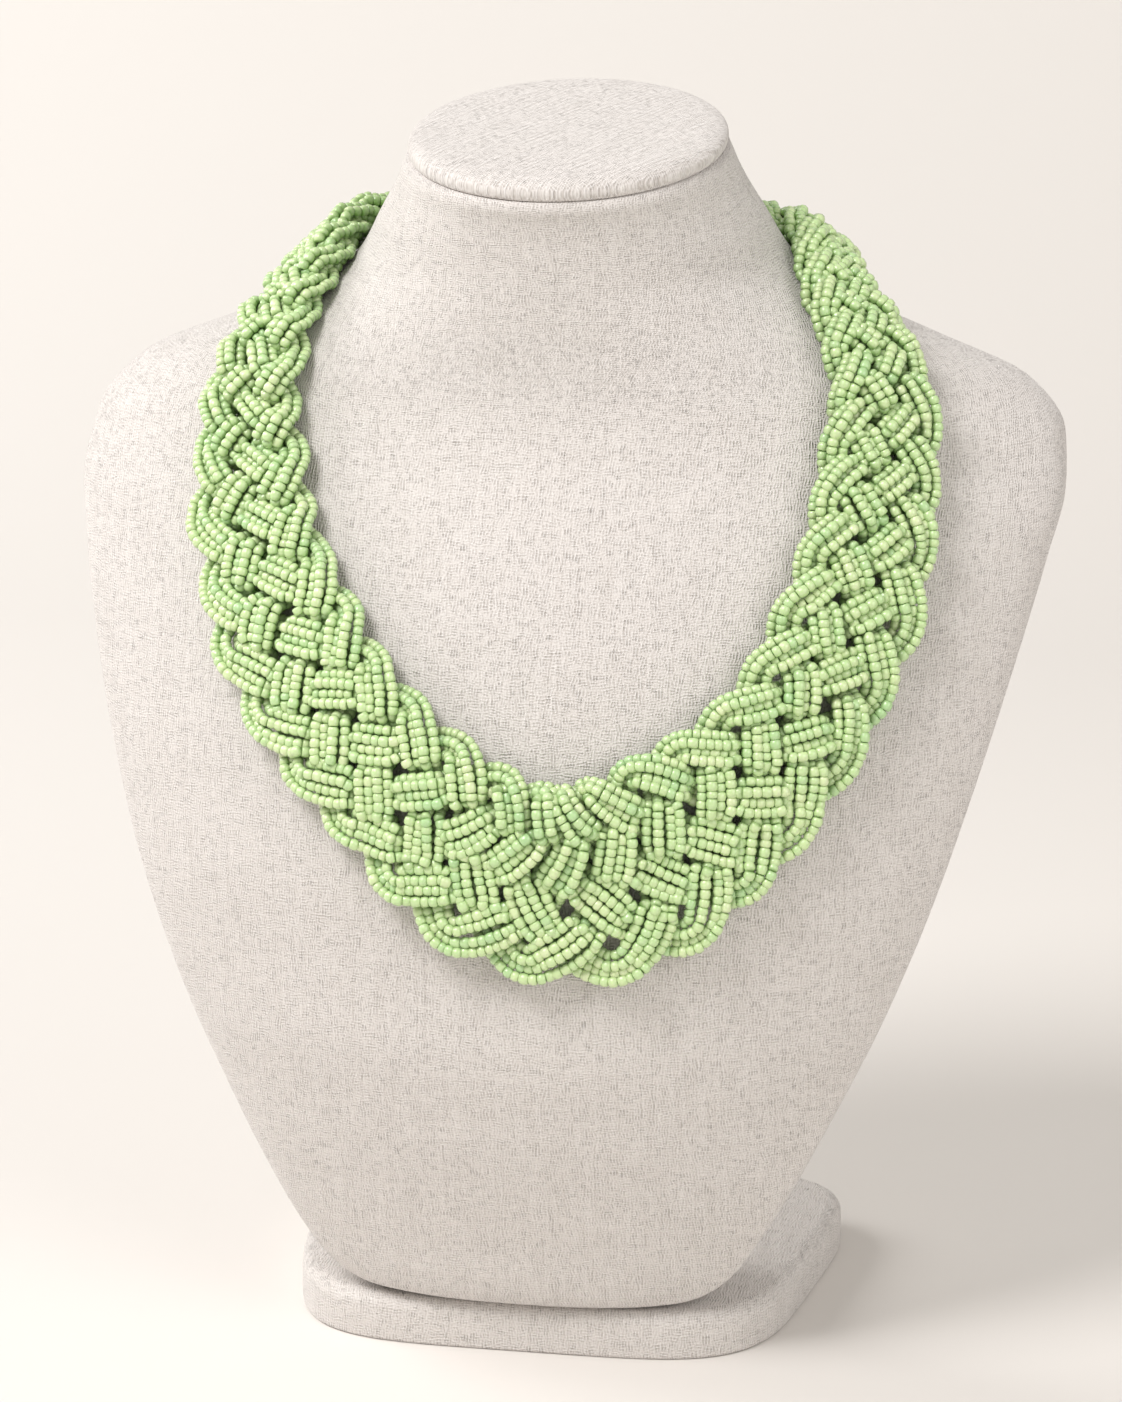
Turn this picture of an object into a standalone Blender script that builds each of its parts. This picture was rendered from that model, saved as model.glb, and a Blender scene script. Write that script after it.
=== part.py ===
# A flat collar necklace braided from five bundles of beaded strings, on a linen neck bust.
import math

import bmesh
import bpy
import numpy as np

for thing in list(bpy.data.objects):
    bpy.data.objects.remove(thing, do_unlink=True)

MM = 0.001

# Main sizes of the bust, in millimetres.
BUST_WIDTH = 254.0
BUST_DEPTH = 140.0
NECK_TOP = 298.5
NECK_TILT = math.radians(10.0)
TILT_FROM = 262.0

# The slab under the body.
BASE_WIDTH = 136.0
BASE_DEPTH = 112.0
BASE_THICK = 12.4
BASE_EDGE = 3.5
BASE_FOOT_EDGE = 1.0
BASE_SPLAY = 0.11
BASE_SQUARE = 4.5
BASE_MIDDLE = -11.2
BODY_GAP = 0.38
BODY_FOOT = BASE_THICK + BODY_GAP

# The padded cap on the neck.
CAP_HALF_WIDTH = 40.3
CAP_HALF_DEPTH = 45.0
CAP_THICK = 5.2
CAP_GROOVE = 0.35

# Cross sections of the body: height as a share from its foot to the neck's top, half width as a
# share of half the bust's width, then widest line, front and back from the neck's middle as shares
# of the depth. Squareness is the power of the outline, and edge is the flat side's share of the
# front depth.
SECTION_COLUMNS = ("height", "half_width", "widest", "front", "back", "square", "edge")
SECTIONS = (
    (0.0000, 0.290, -0.400, -0.475, -0.200, 2.8, 0.80),
    (0.0080, 0.352, -0.402, -0.505, -0.178, 2.9, 0.74),
    (0.0247, 0.406, -0.405, -0.522, -0.168, 3.0, 0.64),
    (0.0608, 0.466, -0.408, -0.546, -0.171, 3.3, 0.52),
    (0.1130, 0.534, -0.402, -0.583, -0.193, 3.6, 0.42),
    (0.1830, 0.614, -0.388, -0.628, -0.207, 4.0, 0.34),
    (0.2708, 0.706, -0.374, -0.657, -0.193, 4.0, 0.30),
    (0.3753, 0.796, -0.340, -0.657, -0.150, 4.0, 0.28),
    (0.4797, 0.869, -0.276, -0.628, -0.071, 4.0, 0.27),
    (0.5852, 0.935, -0.174, -0.557, 0.043, 4.0, 0.27),
    (0.6552, 0.975, -0.083, -0.486, 0.136, 3.9, 0.28),
    (0.7075, 1.000, 0.000, -0.421, 0.200, 3.7, 0.30),
    (0.7524, 0.991, 0.080, -0.364, 0.243, 3.3, 0.34),
    (0.7952, 0.913, 0.128, -0.328, 0.271, 2.8, 0.42),
    (0.8308, 0.728, 0.136, -0.311, 0.286, 2.5, 0.55),
    (0.8652, 0.550, 0.121, -0.303, 0.300, 2.3, 0.70),
    (0.9008, 0.442, 0.093, -0.300, 0.311, 2.1, 0.85),
    (0.9405, 0.387, 0.057, -0.303, 0.321, 2.0, 1.00),
    (0.9728, 0.345, 0.021, -0.311, 0.325, 2.0, 1.00),
    (0.9927, 0.326, 0.003, -0.320, 0.323, 2.0, 1.00),
    (1.0000, 0.319, 0.000, -0.314, 0.316, 2.0, 1.00),
)

# Route of the braid's middle line round the neck: angle from the front in degrees, height as a
# share of the neck's top, and the braid's width as a share of its widest.
# Minus is the wearer's right, and the ends meet at the nape.
BRAID_WIDEST = 50.5
ROUTE_COLUMNS = ("angle", "height", "width")
ROUTE = (
    (-180, 0.901, 0.396), (-120, 0.903, 0.396), (-88, 0.898, 0.396), (-69, 0.869, 0.416),
    (-57.5, 0.817, 0.505), (-56.5, 0.742, 0.624), (-55.5, 0.677, 0.723), (-47, 0.590, 0.792),
    (-29.5, 0.517, 0.822), (-8, 0.467, 0.921), (14, 0.444, 1.000), (33.5, 0.455, 0.990),
    (49.2, 0.4975, 0.891), (60, 0.567, 0.733), (64.3, 0.677, 0.683), (62.2, 0.777, 0.594),
    (66, 0.836, 0.485), (77, 0.876, 0.426), (97, 0.896, 0.406), (140, 0.903, 0.396),
    (180, 0.901, 0.396),
)

# The braid, in millimetres.
STRANDS = 5
BEAD_WIDTH = 2.7
STRINGS = 4
SKIN_GAP = 0.5
CROSS_GAP = 0.9
STRAND_FILL = 0.57
BUNDLE_THICK = 3.4
LEAN_SHARE = 0.78
SKIN_STEP = 2.0
BED_STEP = 4.0
AHEAD_STEP = 0.8
CROSSINGS = (0.1, 0.2, 0.3, 0.4)
CROSSING_HALF = 0.041
TURN_HALF = 0.034
TURN_ROUND = 0.09
END_RUN = 5.5
END_PHASE = 0.05
START_PHASE = 0.125

# Braid's width, and the length from one bundle's turn at the edge to the next one's, both as
# shares of its widest.
PITCH_COLUMNS = ("width", "pitch")
PITCHES = (
    (0.40, 0.206), (0.535, 0.257), (0.634, 0.312), (0.772, 0.338), (0.89, 0.290), (1.03, 0.268),
)

# The clasp at the nape.
CLASP_GAP = 1.2
CLASP_WIDTH = 18.0
CLASP_THICK = 6.4
CLASP_LIFT = 1.2
CLASP_EDGE = 1.4
CLASP_SQUARE = 4.0
CLASP_SIDES = 16


def smooth(xs, ys, x):
    """Monotone cubic curve through hand-chosen points."""
    xs, ys, x = (np.asarray(v, float) for v in (xs, ys, x))
    run = np.diff(xs)
    rise = np.diff(ys) / run
    slope = np.zeros(len(xs))
    same = rise[:-1] * rise[1:] > 0
    first, last = 2 * run[1:] + run[:-1], run[1:] + 2 * run[:-1]
    low, high = np.where(same, rise[:-1], 1), np.where(same, rise[1:], 1)
    mean = (first + last) / (first / low + last / high)
    slope[1:-1] = np.where(same, mean, 0)
    slope[0], slope[-1] = rise[0], rise[-1]
    i = np.clip(np.searchsorted(xs, x) - 1, 0, len(xs) - 2)
    t = np.clip((x - xs[i]) / run[i], 0, 1)
    return (ys[i] * (1 + 2 * t) * (1 - t) ** 2 + slope[i] * run[i] * t * (1 - t) ** 2
            + ys[i + 1] * t * t * (3 - 2 * t) + slope[i + 1] * run[i] * t * t * (t - 1))


def column(table, names, name, scale=1.0):
    return np.array([row[names.index(name)] for row in table], float) * scale


BODY_HIGH = NECK_TOP - BODY_FOOT
SECTION_HEIGHTS = column(SECTIONS, SECTION_COLUMNS, "height", BODY_HIGH) + BODY_FOOT


def section_value(name, height, scale=1.0):
    return smooth(SECTION_HEIGHTS, column(SECTIONS, SECTION_COLUMNS, name, scale), height)


def outline(height, count=720):
    """Dense ring round the bust at one height, from the back round to the back."""
    half = section_value("half_width", height, BUST_WIDTH / 2)
    widest = section_value("widest", height, BUST_DEPTH)
    front = widest - section_value("front", height, BUST_DEPTH)
    back = section_value("back", height, BUST_DEPTH) - widest
    power = 2 / section_value("square", height)
    edge = section_value("edge", height)
    turn = np.linspace(-math.pi, math.pi, count + 1)
    c, s = np.cos(turn), np.sin(turn)
    x = np.sign(s) * np.abs(s) ** power * half
    r = np.abs(c) ** power
    bulge = 1 - (x / half) ** 2
    y = np.where(c > 0, widest - front * (edge * r + (1 - edge) * bulge), widest + back * r)
    lean = min(max((height - TILT_FROM) / (NECK_TOP - TILT_FROM), 0), 1) ** 1.5
    z = height + lean * math.tan(NECK_TILT) * y
    return np.stack([x, y, z], -1), widest


# Points of the bust's skin on an even grid of heights and angles round the body.
GRID_ROWS = 289
GRID_TURNS = 360
GRID_HEIGHTS = np.linspace(SECTION_HEIGHTS[0], NECK_TOP, GRID_ROWS + 1)
GRID_ANGLES = np.linspace(-math.pi, math.pi, GRID_TURNS + 1)


def skin_grid():
    rows = []
    for height in GRID_HEIGHTS:
        ring, widest = outline(height)
        angle = np.arctan2(ring[:, 0], widest - ring[:, 1])
        angle[0], angle[-1] = -math.pi, math.pi
        rows.append([np.interp(GRID_ANGLES, angle, ring[:, k]) for k in range(3)])
    return np.array(rows).transpose(0, 2, 1)


SKIN = skin_grid()


def skin(angle, height):
    """Points of the bust's skin at angles round the body and heights."""
    a = (angle / (2 * math.pi) + 0.5) % 1 * GRID_TURNS
    h = np.clip((height - GRID_HEIGHTS[0]) / (GRID_HEIGHTS[1] - GRID_HEIGHTS[0]), 0, GRID_ROWS)
    i, j = np.minimum(h.astype(int), GRID_ROWS - 1), a.astype(int) % GRID_TURNS
    u, v = (h - i)[..., None], (a - j)[..., None]
    return ((SKIN[i, j] * (1 - v) + SKIN[i, j + 1] * v) * (1 - u)
            + (SKIN[i + 1, j] * (1 - v) + SKIN[i + 1, j + 1] * v) * u)


def unit(v):
    return v / np.linalg.norm(v, axis=-1, keepdims=True)


def skin_frame(angle, height):
    """Change of the skin's points with angle and with height, and its outward normal."""
    turn = math.radians(2.0)
    along = (skin(angle + turn, height) - skin(angle - turn, height)) / (2 * turn)
    up = (skin(angle, height + SKIN_STEP) - skin(angle, height - SKIN_STEP)) / (2 * SKIN_STEP)
    return along, up, unit(np.cross(along, up))


def walk(angle, height, way, step):
    """Move points over the skin by a step in a given direction."""
    along, up, normal = skin_frame(angle, height)
    way = way - (way * normal).sum(-1, keepdims=True) * normal
    way = unit(way) * step[:, None]
    aa, uu, au = ((p * q).sum(-1) for p, q in ((along, along), (up, up), (along, up)))
    wa, wu = (way * along).sum(-1), (way * up).sum(-1)
    det = aa * uu - au * au
    return angle + (wa * uu - wu * au) / det, height + (wu * aa - wa * au) / det


# Bed of the braid: points and normals of the skin on a grid along and across the route.
BED_STEPS = 900
BED_SIDE = 8
BED_SOFTENING = 7


def spline(points, count):
    """Rounded curve through points."""
    p = np.asarray(points, float)
    t = np.linspace(0, len(p) - 1, count)
    return np.stack([catmull(p[:, k], t) for k in range(p.shape[1])], -1)


def catmull(values, t):
    ends = np.concatenate([[2 * values[0] - values[1]], values, [2 * values[-1] - values[-2]]])
    i = np.clip(t.astype(int), 0, len(values) - 2)
    u = t - i
    a, b, c, d = (ends[i + k] for k in range(4))
    return 0.5 * (2 * b + (c - a) * u + (2 * a - 5 * b + 4 * c - d) * u ** 2
                  + (3 * b - a - 3 * c + d) * u ** 3)


def braid_bed():
    route = spline(ROUTE, BED_STEPS)
    angle = np.radians(route[:, 0])
    height, width = route[:, 1] * NECK_TOP, route[:, 2] * BRAID_WIDEST
    for _ in range(3):
        angle[1:-1] = (angle[:-2] + 2 * angle[1:-1] + angle[2:]) / 4
        height[1:-1] = (height[:-2] + 2 * height[1:-1] + height[2:]) / 4
    middle = skin(angle, height)
    run = np.concatenate([[0], np.cumsum(np.linalg.norm(np.diff(middle, axis=0), axis=1))])
    even = np.linspace(0, run[-1], BED_STEPS)
    angle, height, width = (np.interp(even, run, v) for v in (angle, height, width))
    middle = skin(angle, height)
    normal = skin_frame(angle, height)[2]
    way = np.gradient(middle, axis=0)
    half = BED_SOFTENING
    kernel = np.ones(2 * half + 1) / (2 * half + 1)
    way = np.stack([np.convolve(np.pad(w, half, mode="edge"), kernel, "valid") for w in way.T], -1)
    inward = unit(np.cross(normal, way))
    rows = {0: (middle, normal)}
    for side in (1, -1):
        a, h, across = angle.copy(), height.copy(), inward * side
        for n in range(1, BED_SIDE + 1):
            a, h = walk(a, h, across, width / 2 / BED_SIDE)
            here = skin(a, h)
            across = here - rows[side * (n - 1)][0]
            rows[side * n] = (here, skin_frame(a, h)[2])
    order = range(-BED_SIDE, BED_SIDE + 1)
    points = np.stack([rows[n][0] for n in order], 1)
    normals = np.stack([rows[n][1] for n in order], 1)
    return even, width, points, normals


BED_RUN, BED_WIDTH, BED_POINTS, BED_NORMALS = braid_bed()
LOOP_LENGTH = BED_RUN[-1]


def on_bed(run, across):
    """Point and normal at a run along the braid and a share across it, plus towards the neck."""
    i = np.clip(run / LOOP_LENGTH, 0, 1) * (BED_STEPS - 1)
    j = (np.clip(across, -1, 1) + 1) * BED_SIDE
    i0, j0 = np.clip(i.astype(int), 0, BED_STEPS - 2), np.clip(j.astype(int), 0, 2 * BED_SIDE - 1)
    u, v = (i - i0)[..., None], (j - j0)[..., None]

    def blend(grid):
        return ((grid[i0, j0] * (1 - v) + grid[i0, j0 + 1] * v) * (1 - u)
                + (grid[i0 + 1, j0] * (1 - v) + grid[i0 + 1, j0 + 1] * v) * u)

    return blend(BED_POINTS), unit(blend(BED_NORMALS))


# Braid's turn along the run: one pitch passes for each bundle that reaches the edge.
PITCH_WIDTHS = column(PITCHES, PITCH_COLUMNS, "width", BRAID_WIDEST)
PITCH = np.interp(BED_WIDTH, PITCH_WIDTHS, column(PITCHES, PITCH_COLUMNS, "pitch", BRAID_WIDEST))
STEP_TURNS = np.diff(BED_RUN) / (PITCH[1:] + PITCH[:-1]) * 2
TURNS = START_PHASE + np.concatenate([[0], np.cumsum(STEP_TURNS)]) / STRANDS


def between_crossings(run, way):
    """First run from one end at which no bundle lies on another."""
    turn = np.interp(run, BED_RUN, TURNS)
    level = (turn - END_PHASE) * 2 * STRANDS
    level = math.ceil(level) if way > 0 else math.floor(level)
    return float(np.interp(level / (2 * STRANDS) + END_PHASE, TURNS, BED_RUN))


BRAID_START = between_crossings(END_RUN, 1)
BRAID_END = between_crossings(LOOP_LENGTH - END_RUN, -1)


def bundle_size(run, across):
    """Braid's width, and a bundle's width and thickness, at a run and a share across."""
    width = np.interp(run, BED_RUN, BED_WIDTH)
    pitch = np.interp(run, BED_RUN, PITCH)
    ahead = on_bed(run + BED_STEP, across)[0] - on_bed(run - BED_STEP, across)[0]
    pitch = pitch * np.linalg.norm(ahead, axis=-1) / (2 * BED_STEP)
    lean = np.arctan2(width * LEAN_SHARE, STRANDS / 2 * pitch)
    room = pitch * np.sin(lean)
    broad = np.minimum(room * STRAND_FILL, STRINGS * BEAD_WIDTH * 0.92)
    thick = np.clip(STRINGS * BEAD_WIDTH * BEAD_WIDTH * 0.8 / broad, BEAD_WIDTH, BUNDLE_THICK)
    return width, broad, thick


def sway(phase):
    """Share across the braid: plus one at the inner edge, minus one at the outer edge."""
    p = phase % 1
    p = np.where(p > 0.5, 1 - p, p)
    side = np.where(p > 0.25, -1.0, 1.0)
    near = np.where(p > 0.25, 0.5 - p, p)
    bend = np.hypot(near, TURN_ROUND) - TURN_ROUND
    return side * (1 - bend / (math.hypot(0.25, TURN_ROUND) - TURN_ROUND))


def lift(phase):
    """Plus one where a bundle passes over another, minus one where it passes under."""
    p = phase % 0.5
    knots = [0.0]
    levels = [0.0]
    for n, middle in enumerate(CROSSINGS):
        knots += [middle - CROSSING_HALF, middle + CROSSING_HALF]
        levels += [1 - 2 * (n % 2)] * 2
    return np.interp(p, knots + [0.5], levels + [0.0])


def strand_knots(shift):
    """Runs at which a bundle's section is set: both ends of each crossing, and the edge turns."""
    shares = [0.0, TURN_HALF, 0.5 - TURN_HALF]
    for middle in CROSSINGS:
        shares += [middle - CROSSING_HALF, middle + CROSSING_HALF]
    shares.sort()
    low, high = (float(np.interp(r, BED_RUN, TURNS)) for r in (BRAID_START, BRAID_END))
    phases = [n / 2 + share - shift for n in range(int(2 * TURNS[-1]) + 4) for share in shares]
    inside = [p for p in phases if low < p < high]
    return np.interp([low] + inside + [high], TURNS, BED_RUN)


def strand_line(run, shift):
    """Middle of a bundle, the skin's normal there, and the bundle's width and thickness."""
    phase = np.interp(run, BED_RUN, TURNS) + shift
    width, broad, thick = bundle_size(run, sway(phase) * 0.8)
    point, normal = on_bed(run, sway(phase) * (1 - broad / width * 0.9))
    half = (thick + CROSS_GAP) / 2
    high = SKIN_GAP + thick / 2 + half * (1 + lift(phase))
    return point + normal * high[:, None], normal, broad, thick


def strand_rings(shift):
    """Rings of six points round one bundle."""
    run = strand_knots(shift)
    point, normal, broad, thick = strand_line(run, shift)
    ahead = strand_line(run + AHEAD_STEP, shift)[0] - strand_line(run - AHEAD_STEP, shift)[0]
    ahead = unit(ahead - (ahead * normal).sum(-1, keepdims=True) * normal)
    side = np.cross(normal, ahead)
    rings = []
    for du, dn in ((0.5, 0), (0.3, 0.5), (-0.3, 0.5), (-0.5, 0), (-0.3, -0.5), (0.3, -0.5)):
        rings.append(point + side * (broad * du)[:, None] + normal * (thick * dn)[:, None])
    return np.stack(rings, 1)


def solid(name, rings, surface, offset):
    """Closed solid through rings of points, with flat ends."""
    rings = (rings + offset) * MM
    sides = rings.shape[1]
    mesh = bmesh.new()
    verts = [[mesh.verts.new(p) for p in ring] for ring in rings]
    for low, high in zip(verts, verts[1:]):
        for k in range(sides):
            n = (k + 1) % sides
            mesh.faces.new((low[k], low[n], high[n], high[k]))
    mesh.faces.new(verts[0][::-1])
    mesh.faces.new(verts[-1])
    bmesh.ops.triangulate(mesh, faces=mesh.faces[:])
    bmesh.ops.recalc_face_normals(mesh, faces=mesh.faces[:])
    data = bpy.data.meshes.new(name)
    mesh.to_mesh(data)
    mesh.free()
    for face in data.polygons:
        face.use_smooth = True
    data.materials.append(surface)
    bpy.context.scene.collection.objects.link(bpy.data.objects.new(name, data))


def material(name, colour, rough, metal=0.0):
    made = bpy.data.materials.new(name)
    made.use_nodes = True
    shader = made.node_tree.nodes["Principled BSDF"]
    shader.inputs["Base Color"].default_value = (*colour, 1)
    shader.inputs["Roughness"].default_value = rough
    shader.inputs["Metallic"].default_value = metal
    return made


LINEN = material("linen", (0.66, 0.61, 0.55), 0.9)
MINT_BEADS = material("mint_beads", (0.45, 0.72, 0.32), 0.35)
GOLD = material("gold_metal", (0.80, 0.60, 0.28), 0.3, 1.0)

PIECES = []

# Body of the bust, ring by ring, with more points where the outline turns sharply.
BODY_SIDES = 36
TURN_WEIGHT = 0.8
TALL_STEP = 7.0
TALLEST_STEP = 22.0


def body_ring(height):
    ring, _ = outline(height)
    step = np.diff(ring, axis=0)
    length = np.linalg.norm(step, axis=1)
    way = np.unwrap(np.arctan2(step[:, 1], step[:, 0]))
    turn = np.abs(np.diff(way, append=way[-1]))
    weight = length / length.sum() + TURN_WEIGHT * turn / turn.sum()
    run = np.concatenate([[0], np.cumsum(weight)])
    even = np.linspace(0, run[-1], BODY_SIDES + 1)[:-1]
    return np.stack([np.interp(even, run, ring[:, k]) for k in range(3)], -1)


body_heights = []
for low, high in zip(SECTION_HEIGHTS, SECTION_HEIGHTS[1:]):
    cuts = 1 + (high - low > TALL_STEP) + (high - low > TALLEST_STEP)
    body_heights += list(np.linspace(low, high, cuts, endpoint=False))
body_heights.append(SECTION_HEIGHTS[-1])
PIECES.append(("bust_body", [body_ring(h) for h in body_heights], LINEN))

# Padded cap on the tilted top of the neck: share of the outline, and share of the thickness.
CAP_SIDES = 40
CAP_COLUMNS = ("outline", "height")
CAP_ROWS = (
    (0.985, 0.0), (0.995, 0.14), (1.0, 0.36), (0.99, 0.60),
    (0.955, 0.80), (0.86, 0.93), (0.60, 0.99), (0.25, 1.0),
)


def cap_ring(share, height):
    turn = np.linspace(0, 2 * math.pi, CAP_SIDES, endpoint=False)
    x = np.sin(turn) * CAP_HALF_WIDTH * share
    y = -np.cos(turn) * CAP_HALF_DEPTH * math.cos(NECK_TILT) * share
    lifted = NECK_TOP + CAP_GROOVE + CAP_THICK * height
    return np.stack([x, y, lifted + math.tan(NECK_TILT) * y], -1)


PIECES.append(("neck_cap", [cap_ring(*row) for row in CAP_ROWS], LINEN))

# Slab under the body, with a rounded upper edge and a fine one at the foot.
BASE_SIDES = 44


def base_ring(inset, height):
    turn = np.linspace(0, 2 * math.pi, BASE_SIDES, endpoint=False) + math.pi / BASE_SIDES
    c, s = np.cos(turn), np.sin(turn)
    power = 2 / BASE_SQUARE
    y = -np.sign(c) * np.abs(c) ** power
    x = np.sign(s) * np.abs(s) ** power * (1 + BASE_SPLAY * y)
    return np.stack([x * (BASE_WIDTH / 2 - inset), BASE_MIDDLE + y * (BASE_DEPTH / 2 - inset),
                     0 * x + height], -1)


def round_edge(radius, count):
    """Inset and drop along a quarter round, from the flat face to the side."""
    turns = [math.pi / 2 * n / count for n in range(count + 1)]
    return [(radius * (1 - math.sin(t)), radius * (1 - math.cos(t))) for t in turns]


base_rows = round_edge(BASE_FOOT_EDGE, 2)
base_rows += [(inset, BASE_THICK - drop) for inset, drop in reversed(round_edge(BASE_EDGE, 4))]
PIECES.append(("base", [base_ring(*row) for row in base_rows], LINEN))

# Five bundles of the braid, each one pitch after the last.
for number in range(STRANDS):
    name = "braid_strand_%d" % (number + 1)
    PIECES.append((name, strand_rings(number / STRANDS), MINT_BEADS))

# Clasp at the nape, a rounded box bent to the neck between the braid's ends.
CLASP_SHARES = (-1, -0.95, -0.8, -0.4, 0, 0.4, 0.8, 0.95, 1)


def clasp_ring(share):
    half = min(BRAID_START, LOOP_LENGTH - BRAID_END) - CLASP_GAP
    turn = np.linspace(0, 2 * math.pi, CLASP_SIDES, endpoint=False) + math.pi / CLASP_SIDES
    c, s = np.cos(turn), np.sin(turn)
    trim = 2 * CLASP_EDGE * (1 - math.sqrt(1 - share ** 8))
    up = np.sign(c) * np.abs(c) ** (2 / CLASP_SQUARE) * (CLASP_WIDTH - trim) / 2
    out = np.sign(s) * np.abs(s) ** (2 / CLASP_SQUARE) * (CLASP_THICK - trim) / 2
    run = np.array([share * half % LOOP_LENGTH])
    point, normal = on_bed(run, np.array([0.0]))
    upward = unit(on_bed(run, np.array([0.5]))[0] - on_bed(run, np.array([-0.5]))[0])
    return (point + normal * (CLASP_LIFT + CLASP_THICK / 2)
            + upward * up[:, None] + normal * out[:, None])


PIECES.append(("clasp", [clasp_ring(share) for share in CLASP_SHARES], GOLD))

# The origin is under the middle of all the pieces, on the ground.
corners = np.concatenate([np.reshape(rings, (-1, 3)) for _, rings, _ in PIECES])
origin = (corners.min(0) + corners.max(0)) / 2
origin[2] = corners[:, 2].min()
for name, rings, surface in PIECES:
    solid(name, np.asarray(rings), surface, -origin)
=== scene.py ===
# Looks of a flat collar necklace, braided from strings of seed beads, on a linen neck bust.
import math

import bpy
import numpy as np
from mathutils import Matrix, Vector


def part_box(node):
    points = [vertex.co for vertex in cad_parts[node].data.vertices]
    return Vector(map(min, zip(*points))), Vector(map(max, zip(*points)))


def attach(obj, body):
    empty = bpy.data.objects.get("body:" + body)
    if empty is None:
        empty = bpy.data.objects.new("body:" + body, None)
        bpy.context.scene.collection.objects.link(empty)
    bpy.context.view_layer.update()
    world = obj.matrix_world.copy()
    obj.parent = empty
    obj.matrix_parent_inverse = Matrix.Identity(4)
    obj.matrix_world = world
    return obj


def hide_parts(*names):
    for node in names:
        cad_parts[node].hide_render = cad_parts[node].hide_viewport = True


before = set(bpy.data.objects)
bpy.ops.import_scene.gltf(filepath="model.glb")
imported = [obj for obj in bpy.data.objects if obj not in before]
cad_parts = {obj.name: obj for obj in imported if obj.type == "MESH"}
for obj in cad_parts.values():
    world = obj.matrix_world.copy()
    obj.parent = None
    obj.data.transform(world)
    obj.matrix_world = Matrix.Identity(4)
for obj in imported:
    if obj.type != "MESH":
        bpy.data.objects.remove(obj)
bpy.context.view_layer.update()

MM = 0.001

# Main sizes of the bust, in millimetres, as in the part's source.
BUST_WIDTH = 254.0
BUST_DEPTH = 140.0
NECK_TOP = 298.5
NECK_TILT = math.radians(10.0)
TILT_FROM = 262.0
BASE_WIDTH = 136.0
BASE_DEPTH = 112.0
BASE_THICK = 12.4
BASE_EDGE = 3.5
BASE_FOOT_EDGE = 1.0
BASE_SPLAY = 0.11
BASE_SQUARE = 4.5
BASE_MIDDLE = -11.2
BODY_GAP = 0.38
BODY_FOOT = BASE_THICK + BODY_GAP
CAP_HALF_WIDTH = 40.3
CAP_HALF_DEPTH = 45.0
CAP_THICK = 5.2
CAP_GROOVE = 0.35

# Points of one ring round the body, and how the neck's lean grows towards its top.
OUTLINE_POINTS = 720
LEAN_POWER = 1.5

# Cross sections of the body: height as a share from its foot to the neck's top, half width as a
# share of half the bust's width, then widest line, front and back from the neck's middle as shares
# of the depth. Squareness is the power of the outline, and edge is the flat side's share of the
# front depth.
SECTION_COLUMNS = ("height", "half_width", "widest", "front", "back", "square", "edge")
SECTIONS = (
    (0.0000, 0.290, -0.400, -0.475, -0.200, 2.8, 0.80),
    (0.0080, 0.352, -0.402, -0.505, -0.178, 2.9, 0.74),
    (0.0247, 0.406, -0.405, -0.522, -0.168, 3.0, 0.64),
    (0.0608, 0.466, -0.408, -0.546, -0.171, 3.3, 0.52),
    (0.1130, 0.534, -0.402, -0.583, -0.193, 3.6, 0.42),
    (0.1830, 0.614, -0.388, -0.628, -0.207, 4.0, 0.34),
    (0.2708, 0.706, -0.374, -0.657, -0.193, 4.0, 0.30),
    (0.3753, 0.796, -0.340, -0.657, -0.150, 4.0, 0.28),
    (0.4797, 0.869, -0.276, -0.628, -0.071, 4.0, 0.27),
    (0.5852, 0.935, -0.174, -0.557, 0.043, 4.0, 0.27),
    (0.6552, 0.975, -0.083, -0.486, 0.136, 3.9, 0.28),
    (0.7075, 1.000, 0.000, -0.421, 0.200, 3.7, 0.30),
    (0.7524, 0.991, 0.080, -0.364, 0.243, 3.3, 0.34),
    (0.7952, 0.913, 0.128, -0.328, 0.271, 2.8, 0.42),
    (0.8308, 0.728, 0.136, -0.311, 0.286, 2.5, 0.55),
    (0.8652, 0.550, 0.121, -0.303, 0.300, 2.3, 0.70),
    (0.9008, 0.442, 0.093, -0.300, 0.311, 2.1, 0.85),
    (0.9405, 0.387, 0.057, -0.303, 0.321, 2.0, 1.00),
    (0.9728, 0.345, 0.021, -0.311, 0.325, 2.0, 1.00),
    (0.9927, 0.326, 0.003, -0.320, 0.323, 2.0, 1.00),
    (1.0000, 0.319, 0.000, -0.314, 0.316, 2.0, 1.00),
)

# Route of the braid's middle line round the neck: angle from the front in degrees, height as a
# share of the neck's top, and the braid's width as a share of its widest.
BRAID_WIDEST = 50.5
ROUTE_COLUMNS = ("angle", "height", "width")
ROUTE = (
    (-180, 0.901, 0.396), (-120, 0.903, 0.396), (-88, 0.898, 0.396), (-69, 0.869, 0.416),
    (-57.5, 0.817, 0.505), (-56.5, 0.742, 0.624), (-55.5, 0.677, 0.723), (-47, 0.590, 0.792),
    (-29.5, 0.517, 0.822), (-8, 0.467, 0.921), (14, 0.444, 1.000), (33.5, 0.455, 0.990),
    (49.2, 0.4975, 0.891), (60, 0.567, 0.733), (64.3, 0.677, 0.683), (62.2, 0.777, 0.594),
    (66, 0.836, 0.485), (77, 0.876, 0.426), (97, 0.896, 0.406), (140, 0.903, 0.396),
    (180, 0.901, 0.396),
)

# Braid's width, and the length from one bundle's turn at the edge to the next one's, both as
# shares of its widest.
PITCH_COLUMNS = ("width", "pitch")
PITCHES = (
    (0.40, 0.206), (0.535, 0.257), (0.634, 0.312), (0.772, 0.338), (0.89, 0.290), (1.03, 0.268),
)

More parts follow.
